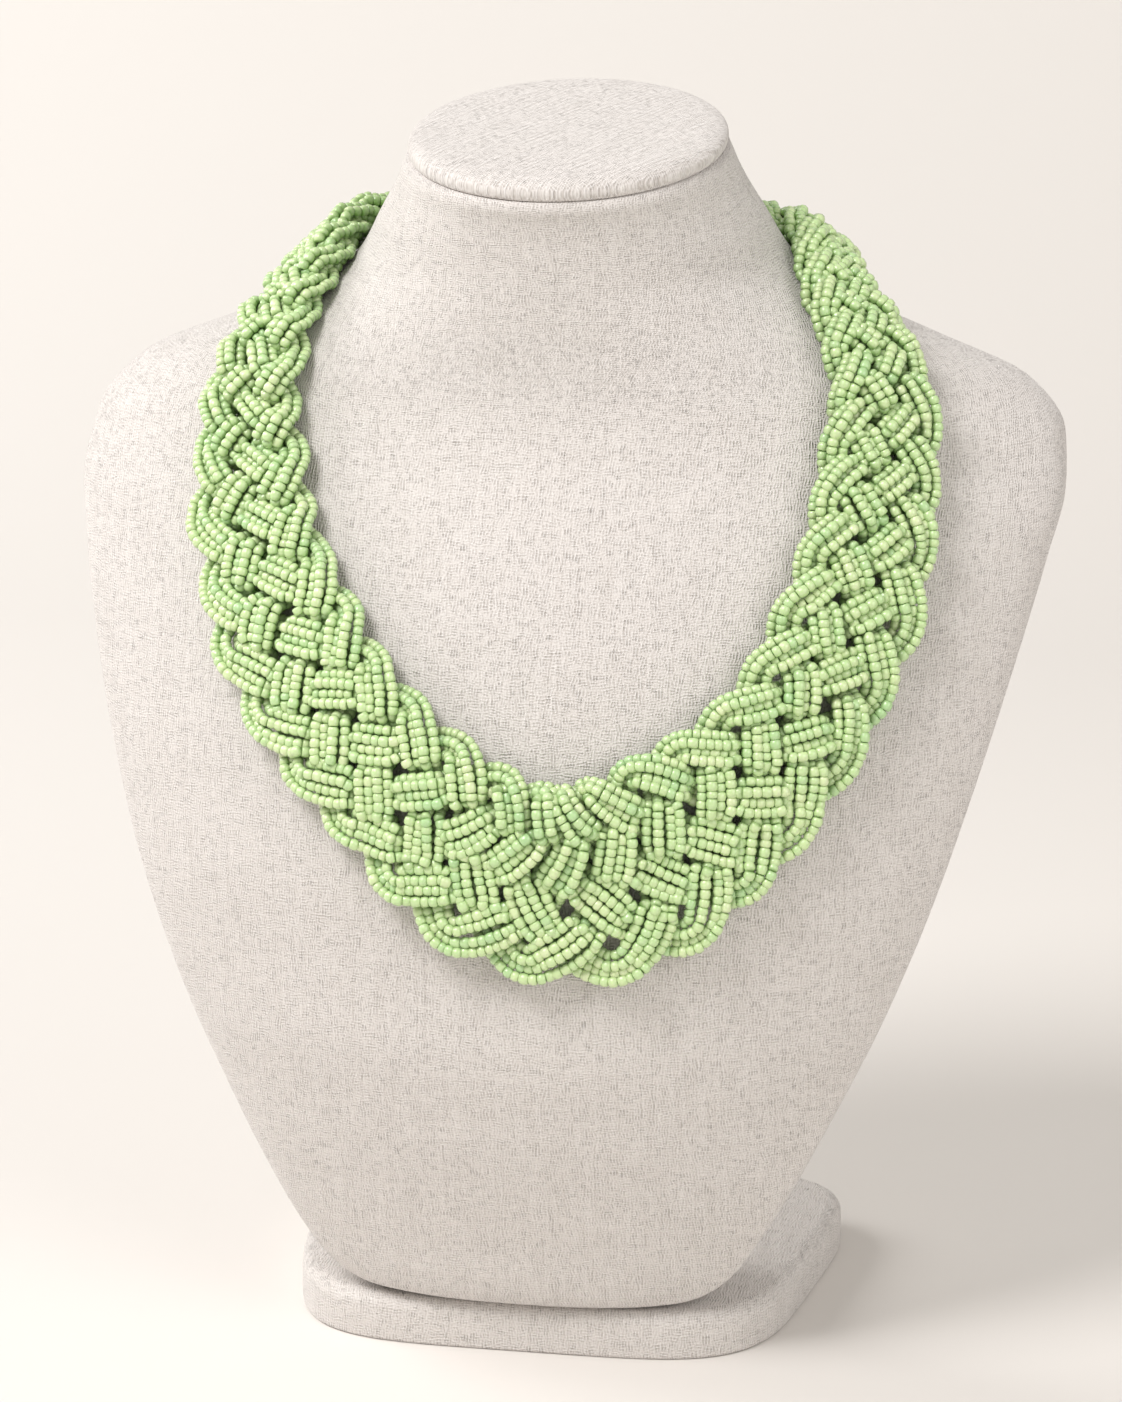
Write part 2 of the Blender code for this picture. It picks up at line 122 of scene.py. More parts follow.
# The braid and its beads: lengths in millimetres, the rest as shares, or as turns of the braid.
# A bundle spreads where it passes over another and narrows between crossings. Its strings lie
# side by side where there is room, and otherwise nest by turns higher and lower.
STRANDS = 5
STRINGS = 4
BEAD_WIDTH = 2.9
BEAD_LENGTH = 2.15
SKIN_GAP = 0.5
STRING_SPACING = 2.72
STRING_NEST = 2.62
OVER_SPREAD = 0.05
NARROWING = 0.16
LEAN_SHARE = 0.78
ROOM_SHARE = 0.8
EDGE_SHARE = 0.95
BED_STEP = 4.0
SKIN_STEP = 2.0
SKIN_TURN = math.radians(2.0)
CROSSINGS = (0.1, 0.2, 0.3, 0.4)
CROSSING_HALF = 0.033
END_RUN = 5.5
END_PHASE = 0.05
START_PHASE = 0.125
TURN_ROUND = 0.09

# The camera as the photo has it, in the part source's place: aim, distance, lens and sensor in
# millimetres, and the farthest thing it sees, in metres.
VIEW_AZIMUTH = math.radians(10.3)
VIEW_ELEVATION = math.radians(14.8)
VIEW_DISTANCE = 1200.0
VIEW_AIM = (-1.9, 0.0, 154.0)
VIEW_LENS = 118.5
VIEW_SENSOR = 36.0
VIEW_FAR = 20.0

# The origin of the frame against the neck's middle line, read from the slab.
base_low, base_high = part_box("base")
ORIGIN = np.array([0.0, BASE_MIDDLE - (base_low[1] + base_high[1]) / 2 / MM, 0.0])


def smooth(xs, ys, x):
    """Monotone cubic curve through given points."""
    xs, ys, x = (np.asarray(v, float) for v in (xs, ys, x))
    run = np.diff(xs)
    rise = np.diff(ys) / run
    slope = np.zeros(len(xs))
    same = rise[:-1] * rise[1:] > 0
    first, last = 2 * run[1:] + run[:-1], run[1:] + 2 * run[:-1]
    low, high = np.where(same, rise[:-1], 1), np.where(same, rise[1:], 1)
    mean = (first + last) / (first / low + last / high)
    slope[1:-1] = np.where(same, mean, 0)
    slope[0], slope[-1] = rise[0], rise[-1]
    i = np.clip(np.searchsorted(xs, x) - 1, 0, len(xs) - 2)
    t = np.clip((x - xs[i]) / run[i], 0, 1)
    return (ys[i] * (1 + 2 * t) * (1 - t) ** 2 + slope[i] * run[i] * t * (1 - t) ** 2
            + ys[i + 1] * t * t * (3 - 2 * t) + slope[i + 1] * run[i] * t * t * (t - 1))


def column(table, names, name, scale=1.0):
    """One named column of a table, scaled to its size."""
    return np.array([row[names.index(name)] for row in table], float) * scale


BODY_HIGH = NECK_TOP - BODY_FOOT
SECTION_HEIGHTS = column(SECTIONS, SECTION_COLUMNS, "height", BODY_HIGH) + BODY_FOOT


def section_value(name, height, scale=1.0):
    """A column of the body's sections, read at heights."""
    return smooth(SECTION_HEIGHTS, column(SECTIONS, SECTION_COLUMNS, name, scale), height)


def outline(height):
    """Dense ring round the bust at one height, from the back round to the back, and its middle."""
    half = section_value("half_width", height, BUST_WIDTH / 2)
    widest = section_value("widest", height, BUST_DEPTH)
    front = widest - section_value("front", height, BUST_DEPTH)
    back = section_value("back", height, BUST_DEPTH) - widest
    power = 2 / section_value("square", height)
    edge = section_value("edge", height)
    turn = np.linspace(-math.pi, math.pi, OUTLINE_POINTS + 1)
    c, s = np.cos(turn), np.sin(turn)
    x = np.sign(s) * np.abs(s) ** power * half
    r = np.abs(c) ** power
    bulge = 1 - (x / half) ** 2
    y = np.where(c > 0, widest - front * (edge * r + (1 - edge) * bulge), widest + back * r)
    lean = min(max((height - TILT_FROM) / (NECK_TOP - TILT_FROM), 0), 1) ** LEAN_POWER
    z = height + lean * math.tan(NECK_TILT) * y
    return np.stack([x, y, z], -1), widest


# Points of the bust's skin on an even grid of heights and angles round the body.
GRID_ROWS = 289
GRID_TURNS = 360
GRID_HEIGHTS = np.linspace(SECTION_HEIGHTS[0], NECK_TOP, GRID_ROWS + 1)
GRID_ANGLES = np.linspace(-math.pi, math.pi, GRID_TURNS + 1)


def skin_grid():
    """Points of the skin for every height and angle of the grid."""
    rows = []
    for height in GRID_HEIGHTS:
        ring, widest = outline(height)
        angle = np.arctan2(ring[:, 0], widest - ring[:, 1])
        angle[0], angle[-1] = -math.pi, math.pi
        rows.append([np.interp(GRID_ANGLES, angle, ring[:, k]) for k in range(3)])
    return np.array(rows).transpose(0, 2, 1)


SKIN = skin_grid()


def skin(angle, height):
    """Points of the bust's skin at angles round the body and heights."""
    a = (angle / (2 * math.pi) + 0.5) % 1 * GRID_TURNS
    h = np.clip((height - GRID_HEIGHTS[0]) / (GRID_HEIGHTS[1] - GRID_HEIGHTS[0]), 0, GRID_ROWS)
    i, j = np.minimum(h.astype(int), GRID_ROWS - 1), a.astype(int) % GRID_TURNS
    u, v = (h - i)[..., None], (a - j)[..., None]
    return ((SKIN[i, j] * (1 - v) + SKIN[i, j + 1] * v) * (1 - u)
            + (SKIN[i + 1, j] * (1 - v) + SKIN[i + 1, j + 1] * v) * u)


def unit(v):
    """Directions of length one."""
    return v / np.linalg.norm(v, axis=-1, keepdims=True)


def skin_frame(angle, height):
    """Change of the skin's points with angle and with height, and its outward normal."""
    ahead, behind = skin(angle + SKIN_TURN, height), skin(angle - SKIN_TURN, height)
    along = (ahead - behind) / (2 * SKIN_TURN)
    up = (skin(angle, height + SKIN_STEP) - skin(angle, height - SKIN_STEP)) / (2 * SKIN_STEP)
    return along, up, unit(np.cross(along, up))


def walk(angle, height, way, step):
    """Move points over the skin by a step in a given direction."""
    along, up, normal = skin_frame(angle, height)
    way = way - (way * normal).sum(-1, keepdims=True) * normal
    way = unit(way) * step[:, None]
    aa, uu, au = ((p * q).sum(-1) for p, q in ((along, along), (up, up), (along, up)))
    wa, wu = (way * along).sum(-1), (way * up).sum(-1)
    det = aa * uu - au * au
    return angle + (wa * uu - wu * au) / det, height + (wu * aa - wa * au) / det


def catmull(values, t):
    """Rounded curve through even knots, read at places counted in knots from the first."""
    knots = np.concatenate([[2 * values[0] - values[1]], values, [2 * values[-1] - values[-2]]])
    i = np.clip(t.astype(int), 0, len(values) - 2)
    u = t - i
    a, b, c, d = (knots[i + k] for k in range(4))
    return 0.5 * (2 * b + (c - a) * u + (2 * a - 5 * b + 4 * c - d) * u ** 2
                  + (3 * b - a - 3 * c + d) * u ** 3)


def spline(points, count):
    """Rounded curve through points."""
    p = np.asarray(points, float)
    t = np.linspace(0, len(p) - 1, count)
    return np.stack([catmull(p[:, k], t) for k in range(p.shape[1])], -1)


# Bed of the braid: points and normals of the skin on a grid along and across the route.
BED_STEPS = 900
BED_SIDE = 8
BED_SOFTENING = 7
ROUTE_SOFTENINGS = 3


def braid_bed():
    """Runs along the bed, its widths, and the points and normals of its grid."""
    route = dict(zip(ROUTE_COLUMNS, spline(ROUTE, BED_STEPS).T))
    angle = np.radians(route["angle"])
    height, width = route["height"] * NECK_TOP, route["width"] * BRAID_WIDEST
    for _ in range(ROUTE_SOFTENINGS):
        angle[1:-1] = (angle[:-2] + 2 * angle[1:-1] + angle[2:]) / 4
        height[1:-1] = (height[:-2] + 2 * height[1:-1] + height[2:]) / 4
    middle = skin(angle, height)
    run = np.concatenate([[0], np.cumsum(np.linalg.norm(np.diff(middle, axis=0), axis=1))])
    even = np.linspace(0, run[-1], BED_STEPS)
    angle, height, width = (np.interp(even, run, v) for v in (angle, height, width))
    middle = skin(angle, height)
    normal = skin_frame(angle, height)[2]
    way = np.gradient(middle, axis=0)
    half = BED_SOFTENING
    kernel = np.ones(2 * half + 1) / (2 * half + 1)
    way = np.stack([np.convolve(np.pad(w, half, mode="edge"), kernel, "valid") for w in way.T], -1)
    inward = unit(np.cross(normal, way))
    rows = {0: (middle, normal)}
    for side in (1, -1):
        a, h, across = angle.copy(), height.copy(), inward * side
        for n in range(1, BED_SIDE + 1):
            a, h = walk(a, h, across, width / 2 / BED_SIDE)
            here = skin(a, h)
            across = here - rows[side * (n - 1)][0]
            rows[side * n] = (here, skin_frame(a, h)[2])
    order = range(-BED_SIDE, BED_SIDE + 1)
    points = np.stack([rows[n][0] for n in order], 1)
    normals = np.stack([rows[n][1] for n in order], 1)
    return even, width, points, normals


BED_RUN, BED_WIDTH, BED_POINTS, BED_NORMALS = braid_bed()
LOOP_LENGTH = BED_RUN[-1]


def on_bed(run, across):
    """Point and normal at a run along the braid and a share across it, plus towards the neck."""
    i = np.clip(run / LOOP_LENGTH, 0, 1) * (BED_STEPS - 1)
    j = (np.clip(across, -1, 1) + 1) * BED_SIDE
    i0, j0 = np.clip(i.astype(int), 0, BED_STEPS - 2), np.clip(j.astype(int), 0, 2 * BED_SIDE - 1)
    u, v = (i - i0)[..., None], (j - j0)[..., None]

    def blend(grid):
        return ((grid[i0, j0] * (1 - v) + grid[i0, j0 + 1] * v) * (1 - u)
                + (grid[i0 + 1, j0] * (1 - v) + grid[i0 + 1, j0 + 1] * v) * u)

    return blend(BED_POINTS), unit(blend(BED_NORMALS))


# Braid's turn along the run: one pitch passes for each bundle that reaches the edge.
PITCH_WIDTHS = column(PITCHES, PITCH_COLUMNS, "width", BRAID_WIDEST)
PITCH = np.interp(BED_WIDTH, PITCH_WIDTHS, column(PITCHES, PITCH_COLUMNS, "pitch", BRAID_WIDEST))
STEP_TURNS = np.diff(BED_RUN) / (PITCH[1:] + PITCH[:-1]) * 2
TURNS = START_PHASE + np.concatenate([[0], np.cumsum(STEP_TURNS)]) / STRANDS


def between_crossings(run, way):
    """First run from one end at which no bundle lies on another."""
    turn = np.interp(run, BED_RUN, TURNS)
    level = (turn - END_PHASE) * 2 * STRANDS
    level = math.ceil(level) if way > 0 else math.floor(level)
    return float(np.interp(level / (2 * STRANDS) + END_PHASE, TURNS, BED_RUN))


BRAID_START = between_crossings(END_RUN, 1)
BRAID_END = between_crossings(LOOP_LENGTH - END_RUN, -1)


def sway(phase):
    """Share across the braid: plus one at the inner edge, minus one at the outer edge."""
    p = phase % 1
    p = np.where(p > 0.5, 1 - p, p)
    side = np.where(p > 0.25, -1.0, 1.0)
    near = np.where(p > 0.25, 0.5 - p, p)
    bend = np.hypot(near, TURN_ROUND) - TURN_ROUND
    return side * (1 - bend / (math.hypot(0.25, TURN_ROUND) - TURN_ROUND))


def lift(phase):
    """Plus one where a bundle passes over another, minus one where it passes under."""
    p = phase % 0.5
    knots = [0.0]
    levels = [0.0]
    for n, middle in enumerate(CROSSINGS):
        knots += [middle - CROSSING_HALF, middle + CROSSING_HALF]
        levels += [1 - 2 * (n % 2)] * 2
    knots.append(0.5)
    levels.append(0.0)
    i = np.clip(np.searchsorted(knots, p, side="right") - 1, 0, len(knots) - 2)
    knots, levels = np.array(knots), np.array(levels)
    t = (p - knots[i]) / (knots[i + 1] - knots[i])
    t = t * t * (3 - 2 * t)
    return levels[i] * (1 - t) + levels[i + 1] * t


def room_for_bundle(run, across):
    """Braid's width, and the room from one bundle to the next, at a run and a share across."""
    width = np.interp(run, BED_RUN, BED_WIDTH)
    pitch = np.interp(run, BED_RUN, PITCH)
    ahead = on_bed(run + BED_STEP, across)[0] - on_bed(run - BED_STEP, across)[0]
    pitch = pitch * np.linalg.norm(ahead, axis=-1) / (2 * BED_STEP)
    lean = np.arctan2(width * LEAN_SHARE, STRANDS / 2 * pitch)
    return width, pitch * np.sin(lean)


# Wander of the bundles and strings, in millimetres: how far, and over what length.
BUNDLE_WANDER = 0.6
BUNDLE_LOOSE = 0.05
BUNDLE_CROWN = 0.45
OVER_ARCH = 0.6
BUNDLE_SEED = 50
WANDER_ASIDE = 0.24
WANDER_UP = 0.22
WANDER_LENGTH = 9.0


def wander(rng, run, amount):
    """Slow seeded drift along a run."""
    values = rng.normal(0, amount, int(run[-1] / WANDER_LENGTH) + 4)
    return catmull(values, run / WANDER_LENGTH + 1)


def string_line(bundle, string, run, rng):
    """Middle line of one string of beads, and the skin's normal along it."""
    phase = np.interp(run, BED_RUN, TURNS) + bundle / STRANDS
    width, room = room_for_bundle(run, sway(phase) * ROOM_SHARE)
    spacing = (room - BEAD_WIDTH) / (STRINGS - 1)
    spacing = np.clip(spacing, BEAD_WIDTH / 2, STRING_SPACING)
    level = lift(phase)
    spacing *= 1 + OVER_SPREAD * level - NARROWING * (1 - level ** 2)
    stagger = np.sqrt(np.maximum(STRING_NEST ** 2 - spacing ** 2, 0)) / 2
    broad = spacing * (STRINGS - 1) + BEAD_WIDTH
    thick = BEAD_WIDTH + 2 * stagger
    middle = sway(phase) * (1 - broad / width * EDGE_SHARE)
    point, normal = on_bed(run, middle)
    ahead = unit(np.gradient(point, axis=0))
    side = unit(np.cross(normal, ahead))
    shared = np.random.default_rng(BUNDLE_SEED + bundle)
    shift = wander(shared, run, BUNDLE_WANDER)
    loose = 1 + wander(shared, run, BUNDLE_LOOSE)
    place = string - (STRINGS - 1) / 2
    calm = spacing / STRING_SPACING
    aside = place * spacing * loose + (shift + wander(rng, run, WANDER_ASIDE)) * calm
    crown = BUNDLE_CROWN * (1 - (2 * place / (STRINGS - 1)) ** 2)
    up = crown + (1 - 2 * (string % 2)) * stagger + wander(rng, run, WANDER_UP) * calm
    high = SKIN_GAP + thick / 2 * (2 + level) + OVER_ARCH * np.maximum(level, 0) + up
    return point + side * aside[:, None] + normal * high[:, None], normal


# A bead's outline: place along its hole as a share of the length, and radius as a share.
BEAD_SIDES = 10
BEAD_OUTLINE = ((-0.5, 0.70), (-0.38, 0.90), (0.0, 1.0), (0.38, 0.90), (0.5, 0.70))


def bead_shape():
    """Points of one bead about its hole, along X, and its faces."""
    turn = np.linspace(0, 2 * math.pi, BEAD_SIDES, endpoint=False)
    rings = []
    for along, radius in BEAD_OUTLINE:
        place = np.full(BEAD_SIDES, along)
        rings.append(np.stack([place, np.cos(turn) * radius / 2, np.sin(turn) * radius / 2], -1))
    points = np.concatenate(rings)
    faces = []
    for n in range(len(BEAD_OUTLINE) - 1):
        for k in range(BEAD_SIDES):
            a, b = n * BEAD_SIDES + k, n * BEAD_SIDES + (k + 1) % BEAD_SIDES
            faces.append((a, b, b + BEAD_SIDES, a + BEAD_SIDES))
    last = len(points) - BEAD_SIDES
    for k in range(1, BEAD_SIDES - 1, 2):
        c = k + 1
        d = (k + 2) % BEAD_SIDES
        faces.append((0, d, c, k))
        faces.append((last, last + k, last + c, last + d))
    return points, np.array(faces)


BEAD_POINTS, BEAD_FACES = bead_shape()

# How beads differ: width and length as shares, with their limits and the share of its place that a
# bead fills, tilt in radians, and tint along a string and from bead to bead.
WIDTH_SPREAD = 0.035
WIDTH_UNDER = 0.08
WIDTH_OVER = 0.06
LENGTH_SPREAD = 0.12
LENGTH_LIMIT = 0.28
LENGTH_SHARE = 0.985
TILT_SPREAD = 0.05
TINT_DRIFT = 0.16
TINT_SPREAD = 0.13

# Painted shade: share at a bead's ends, where beads meet, and on the side that faces the cloth.
END_SHADE_SHARE = 0.12
END_SHADE_DROP = 0.21
UNDERSIDE_SHADE_SHARE = 0.95
UNDERSIDE_SHADE_FROM = 0.62


def beads_on(points, normals, rng):
    """Points of all the beads along one string, each bead's tint, and each point's painted shade.
    """
    run = np.concatenate([[0], np.cumsum(np.linalg.norm(np.diff(points, axis=0), axis=1))])
    count = int(run[-1] / BEAD_LENGTH)
    lengths = 1 + np.clip(rng.normal(0, LENGTH_SPREAD, count), -LENGTH_LIMIT, LENGTH_LIMIT)
    lengths *= run[-1] / lengths.sum()
    middles = np.cumsum(lengths) - lengths / 2

    def at(values, place):
        return np.stack([np.interp(place, run, v) for v in values.T], -1)

    centre = at(points, middles)
    ahead = unit(at(points, middles + lengths / 2) - at(points, middles - lengths / 2))
    normal = at(normals, middles)
    ahead = unit(ahead + rng.normal(0, TILT_SPREAD, (count, 3)))
    side = unit(np.cross(normal, ahead))
    upward = np.cross(ahead, side)
    spin = rng.uniform(0, 2 * math.pi, count)[:, None]
    side, upward = (side * np.cos(spin) + upward * np.sin(spin),
                    upward * np.cos(spin) - side * np.sin(spin))
    across = 1 + np.clip(rng.normal(0, WIDTH_SPREAD, count), -WIDTH_UNDER, WIDTH_OVER)
    across = BEAD_WIDTH * across[:, None, None]
    centre, ahead, side, upward = (v[:, None] for v in (centre, ahead, side, upward))
    shape = BEAD_POINTS[None]
    made = (centre + ahead * shape[..., :1] * lengths[:, None, None] * LENGTH_SHARE
            + side * shape[..., 1:2] * across + upward * shape[..., 2:] * across)
    tint = 0.5 + wander(rng, middles, TINT_DRIFT) + rng.normal(0, TINT_SPREAD, count)
    out = made - centre
    out = unit(out - ahead * (out * ahead).sum(-1, keepdims=True))
    # Painted shade on the side of each bead that faces the cloth, where the strings shade each
    # other.
    under = np.clip(UNDERSIDE_SHADE_FROM - (out * normal[:, None]).sum(-1), 0, 1) * UNDERSIDE_SHADE_SHARE
    # Painted shade at a bead's ends, where it meets the next bead.
    end_shade = np.clip((1 - np.hypot(BEAD_POINTS[:, 1], BEAD_POINTS[:, 2]) * 2) / END_SHADE_DROP, 0, 1)
    groove = np.clip(end_shade[None] * END_SHADE_SHARE + under, 0, 1)
    return made, np.clip(tint, 0, 1), groove


def placed(points):
    """Points in millimetres, in the part source's place, as points of the frame in metres."""
    return ((np.asarray(points) - ORIGIN) * MM).tolist()


def new_mesh(name, points, faces, material):
    """Smooth-shaded object from points in metres."""
    mesh = bpy.data.meshes.new(name)
    mesh.from_pydata(points, [], faces)
    mesh.update()
    mesh.polygons.foreach_set("use_smooth", [True] * len(mesh.polygons))
    mesh.materials.append(material)
    made = bpy.data.objects.new(name, mesh)
    bpy.context.scene.collection.objects.link(made)
    return made


# Steps of a string's middle line, and the seeds from one bundle to the next.
STRING_STEPS = 6000
BUNDLE_SEEDS = 100


def beaded_bundle(bundle, material):
    """Four strings of beads, joined, in place of one bundle's solid."""
    run = np.linspace(BRAID_START, BRAID_END, STRING_STEPS)
    made, tints, painted_shades = [], [], []
    for string in range(STRINGS):
        rng = np.random.default_rng(BUNDLE_SEEDS * bundle + string)
        points, normals = string_line(bundle, string, run, rng)
        beads, tint, groove = beads_on(points, normals, rng)
        made.append(beads)
        tints.append(tint)
        painted_shades.append(groove)
    beads, tint = np.concatenate(made), np.concatenate(tints)
    count, size = beads.shape[:2]
    faces = (BEAD_FACES[None] + np.arange(count)[:, None, None] * size).reshape(-1, 4)
    name = "beads_%d" % (bundle + 1)
    obj = new_mesh(name, placed(beads.reshape(-1, 3)), faces.tolist(), material)
    layer = obj.data.attributes.new("tint", "FLOAT", "POINT")
    layer.data.foreach_set("value", np.repeat(tint, size))
    # Painted shade of each point, darker at bead ends and undersides, for the glass's colour.
    layer = obj.data.attributes.new("groove", "FLOAT", "POINT")
    layer.data.foreach_set("value", np.concatenate(painted_shades).ravel())
    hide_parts("braid_strand_%d" % (bundle + 1))
    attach(obj, "root")


class Nodes:
    """Short calls for building a material's nodes."""

    def __init__(self, name):
        self.material = bpy.data.materials.new(name)
        self.material.use_nodes = True
        self.tree = self.material.node_tree
        self.shader = self.tree.nodes["Principled BSDF"]

    def add(self, kind, links=None, **settings):
        node = self.tree.nodes.new(kind)
        for key, value in settings.items():
            setattr(node, key, value)
        for key, value in (links or {}).items():
            self.put(node.inputs[key], value)
        return node

    def put(self, socket, value):
        if isinstance(value, bpy.types.NodeSocket):
            self.tree.links.new(value, socket)
        else:
            socket.default_value = value

    def maths(self, operation, first, second=0.0, third=0.0, clamp=False):
        node = self.add("ShaderNodeMath", {0: first, 1: second, 2: third}, operation=operation,
                        use_clamp=clamp)
        return node.outputs[0]

    def noise(self, vector, scale, detail=2.0, rough=0.5):
        links = {"Vector": vector, "Scale": scale, "Detail": detail, "Roughness": rough}
        return self.add("ShaderNodeTexNoise", links).outputs["Fac"]

    def ramp(self, value, stops):
        node = self.add("ShaderNodeValToRGB", {"Fac": value})
        ramp = node.color_ramp
        while len(ramp.elements) < len(stops):
            ramp.elements.new(0.5)
        for element, (place, colour) in zip(ramp.elements, stops):
            element.position = place
            element.color = (*colour, 1)
        return node.outputs["Color"]

    def mix(self, share, first, second):
        """Colour between two, at a share."""
        node = self.add("ShaderNodeMix", {"Factor": share, 6: first, 7: second}, data_type="RGBA")
        return node.outputs[2]

    def gabor(self, vector, pitch, patch, order, turn=0.0):
        """Wavy stripes: pitch, size of a patch, how well they line up, and their turn."""
        links = {"Vector": vector, "Scale": 1 / patch, "Frequency": patch / pitch,
                 "Anisotropy": order, "Orientation": turn}
        return self.add("ShaderNodeTexGabor", links).outputs["Value"]

    def weigh(self, parts):
        """A half, plus each value's distance from a half times its weight."""
        total = 0.5 - sum(weight for _, weight in parts) / 2
        for value, weight in parts:
            total = self.maths("MULTIPLY_ADD", value, weight, total)
        return total

    def stretched(self, vector, scale):
        links = {"Vector": vector, "Scale": scale}
        return self.add("ShaderNodeMapping", links).outputs["Vector"]

    def shaded(self, finish):
        """The material, with the shader's plain values set by their names."""
        for name, value in finish.items():
            self.shader.inputs[name].default_value = value
        return self.material


# The linen: threads and streaks in millimetres, depths as shares of the relief, in metres.
THREAD_PITCH = 0.78
THREAD_PATCH = 1.5
WARP_ORDER = 0.85
WEFT_ORDER = 0.8
WARP_DEEP = 1.1
WEFT_DEEP = 0.8
STREAK_PITCH = 2.0
STREAK_PATCH = 4.0
STREAK_STRETCH = 0.35
BODY_STREAKS = 0.10
CAP_STREAKS = 0.60
LONG_THREADS = (1.5, 0.035, 1.0)
CROSS_THREADS = (0.03, 1.2, 1.0)
THREAD_ROUGH = 0.6
WARP_LINES = 0.36
WEFT_LINES = 0.20
CLOUD_SCALE = 0.12
SPECK_SCALE = 1.3
SPECK_LEVEL = 0.27
SPECK_EDGE = 12.0
SPECK_SHARE = 0.35
TONE_SHARE = 0.9
LINEN_RELIEF = 0.0004
LINEN_TONES = (
    (0.20, (0.53, 0.49, 0.455)),
    (0.50, (0.705, 0.668, 0.64)),
    (0.80, (0.835, 0.805, 0.78)),
)
SPECK_COLOUR = (0.45, 0.40, 0.36, 1)
LINEN_FINISH = {
    "Roughness": 0.95,
    "Specular IOR Level": 0.15,
    "Sheen Weight": 0.3,
    "Sheen Roughness": 0.45,
}


def linen_material(name, streaks):
    """Fine off-white linen: wavy crossed threads with slubs, long streaks and specks."""
    n = Nodes(name)
    place = n.add("ShaderNodeUVMap", uv_map="weave").outputs["UV"]
    warp = n.gabor(place, THREAD_PITCH, THREAD_PATCH, WARP_ORDER)
    weft = n.gabor(place, THREAD_PITCH, THREAD_PATCH, WEFT_ORDER, math.pi / 2)
    drawn_out = n.stretched(place, (1.0, STREAK_STRETCH, 1.0))
    long_waves = n.gabor(drawn_out, STREAK_PITCH, STREAK_PATCH, 1.0)
    warp_lines = n.noise(n.stretched(place, LONG_THREADS), 1.0, rough=THREAD_ROUGH)
    weft_lines = n.noise(n.stretched(place, CROSS_THREADS), 1.0, rough=THREAD_ROUGH)
    cloud = n.noise(place, CLOUD_SCALE)
    speck = n.noise(place, SPECK_SCALE, detail=1.0)
    height = n.weigh(((warp, WARP_DEEP), (weft, WEFT_DEEP), (long_waves, streaks),
                      (warp_lines, WARP_LINES), (weft_lines, WEFT_LINES)))
    bump = n.add("ShaderNodeBump", {"Height": height, "Strength": 1.0, "Distance": LINEN_RELIEF})
    # Colour follows the relief: the threads' own uneven tone and streaks, with painted shade in
    # the low places between threads.
    tone = n.weigh(((height, TONE_SHARE), (cloud, 1 - TONE_SHARE)))
    colour = n.ramp(tone, LINEN_TONES)
    dark = n.maths("MULTIPLY", n.maths("SUBTRACT", SPECK_LEVEL, speck), SPECK_EDGE, clamp=True)
    mixed = n.mix(n.maths("MULTIPLY", dark, SPECK_SHARE), colour, SPECK_COLOUR)
    n.put(n.shader.inputs["Base Color"], mixed)
    n.put(n.shader.inputs["Normal"], bump.outputs["Normal"])
    return n.shaded(LINEN_FINISH)


# The beads' glass: colours by tint, the painted shade's dark green and the pale clouds' colour,
# the clouds' number to a metre and their share, and the gloss.
BEAD_COLOURS = (
    (0.0, (0.44, 0.68, 0.325)),
    (0.35, (0.565, 0.755, 0.37)),
    (0.7, (0.64, 0.79, 0.41)),
    (1.0, (0.735, 0.835, 0.49)),
)
PAINTED_SHADE_COLOUR = (0.13, 0.28, 0.045, 1)
GLASS_CLOUD_COLOUR = (0.64, 0.82, 0.44, 1)
GLASS_CLOUD_SCALE = 900.0
GLASS_CLOUD_SHARE = 0.25
GLASS_FINISH = {
    "Roughness": 0.32,
    "Coat Weight": 1.0,
    "Coat Roughness": 0.2,
    "Specular IOR Level": 0.5,
    "Subsurface Weight": 0.1,
    "Subsurface Radius": (0.6, 1.0, 0.4),
    "Subsurface Scale": 0.0012,
}


def bead_material():
    """Opaque mint green glass with a soft gloss, each bead a shade of its own, and painted shade
    at the beads' ends and undersides.
    """
    n = Nodes("mint_glass")
    tint = n.add("ShaderNodeAttribute", attribute_name="tint").outputs["Fac"]
    groove = n.add("ShaderNodeAttribute", attribute_name="groove").outputs["Fac"]
    # Painted shade: the bead colour mixed towards dark green at bead ends and on sides facing the
    # cloth.
    colour = n.mix(groove, n.ramp(tint, BEAD_COLOURS), PAINTED_SHADE_COLOUR)
    place = n.add("ShaderNodeTexCoord").outputs["Object"]
    cloud = n.maths("MULTIPLY", n.noise(place, GLASS_CLOUD_SCALE), GLASS_CLOUD_SHARE)
    n.put(n.shader.inputs["Base Color"], n.mix(cloud, colour, GLASS_CLOUD_COLOUR))
    return n.shaded(GLASS_FINISH)


# The clasp's metal: brush marks to a metre, their strength and depth in metres, and the gloss.
BRUSH_SCALE = (400.0, 400.0, 6000.0)
BRUSH_STRENGTH = 0.15
BRUSH_DEPTH = 0.0001
METAL_FINISH = {"Base Color": (0.80, 0.60, 0.28, 1), "Metallic": 1.0, "Roughness": 0.28}


def metal_material():
    """Satin gold-coloured metal with faint brushing."""
    n = Nodes("gold_satin")
    place = n.add("ShaderNodeTexCoord").outputs["Object"]
    brush = n.noise(n.stretched(place, BRUSH_SCALE), 1.0)
    links = {"Height": brush, "Strength": BRUSH_STRENGTH, "Distance": BRUSH_DEPTH}
    n.put(n.shader.inputs["Normal"], n.add("ShaderNodeBump", links).outputs["Normal"])
    return n.shaded(METAL_FINISH)


